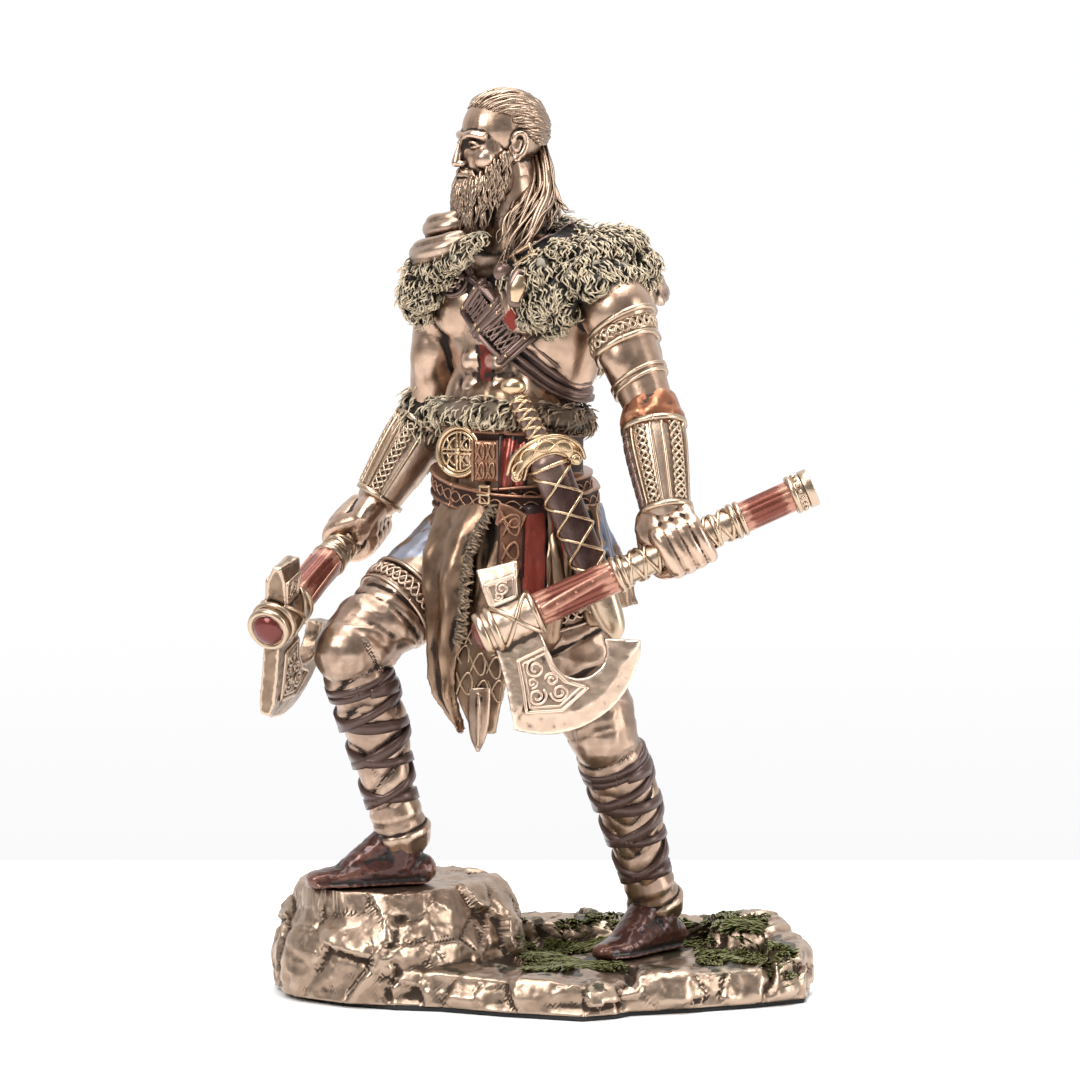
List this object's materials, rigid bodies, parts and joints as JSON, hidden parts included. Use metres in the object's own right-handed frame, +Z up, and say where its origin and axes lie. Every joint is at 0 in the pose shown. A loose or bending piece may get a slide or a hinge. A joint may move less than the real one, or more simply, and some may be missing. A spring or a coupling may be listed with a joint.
{
  "type": "warrior statuette",
  "caption": "Cold-cast bronze statuette of a bearded viking warrior in a fur mantle, striding over a rock with an axe in each hand.",
  "frame": {"origin": "centre of the flat underside, on the surface that the statuette stands on", "axes": "+Z up, -Y towards the side it is shown from, +X along the base past the rear foot"},
  "size_m": [0.1454, 0.1041, 0.2383],
  "materials": {
    "bronze_figure": "antique bronze patina with dark washed recesses, polished high parts and painted leather, fur and gilt details",
    "bronze_axe": "dull pale bronze heads, bronze grips and brick-red hafts",
    "bronze_rock": "antique bronze rock with a dark wash and patches of green moss",
    "felt": "black felt"
  },
  "bodies": {
    "root": {"warrior": "bronze_figure", "axe_right": "bronze_axe", "axe_left": "bronze_axe", "rock_base": "bronze_rock", "felt_pad": "felt"}
  },
  "joints": []
}
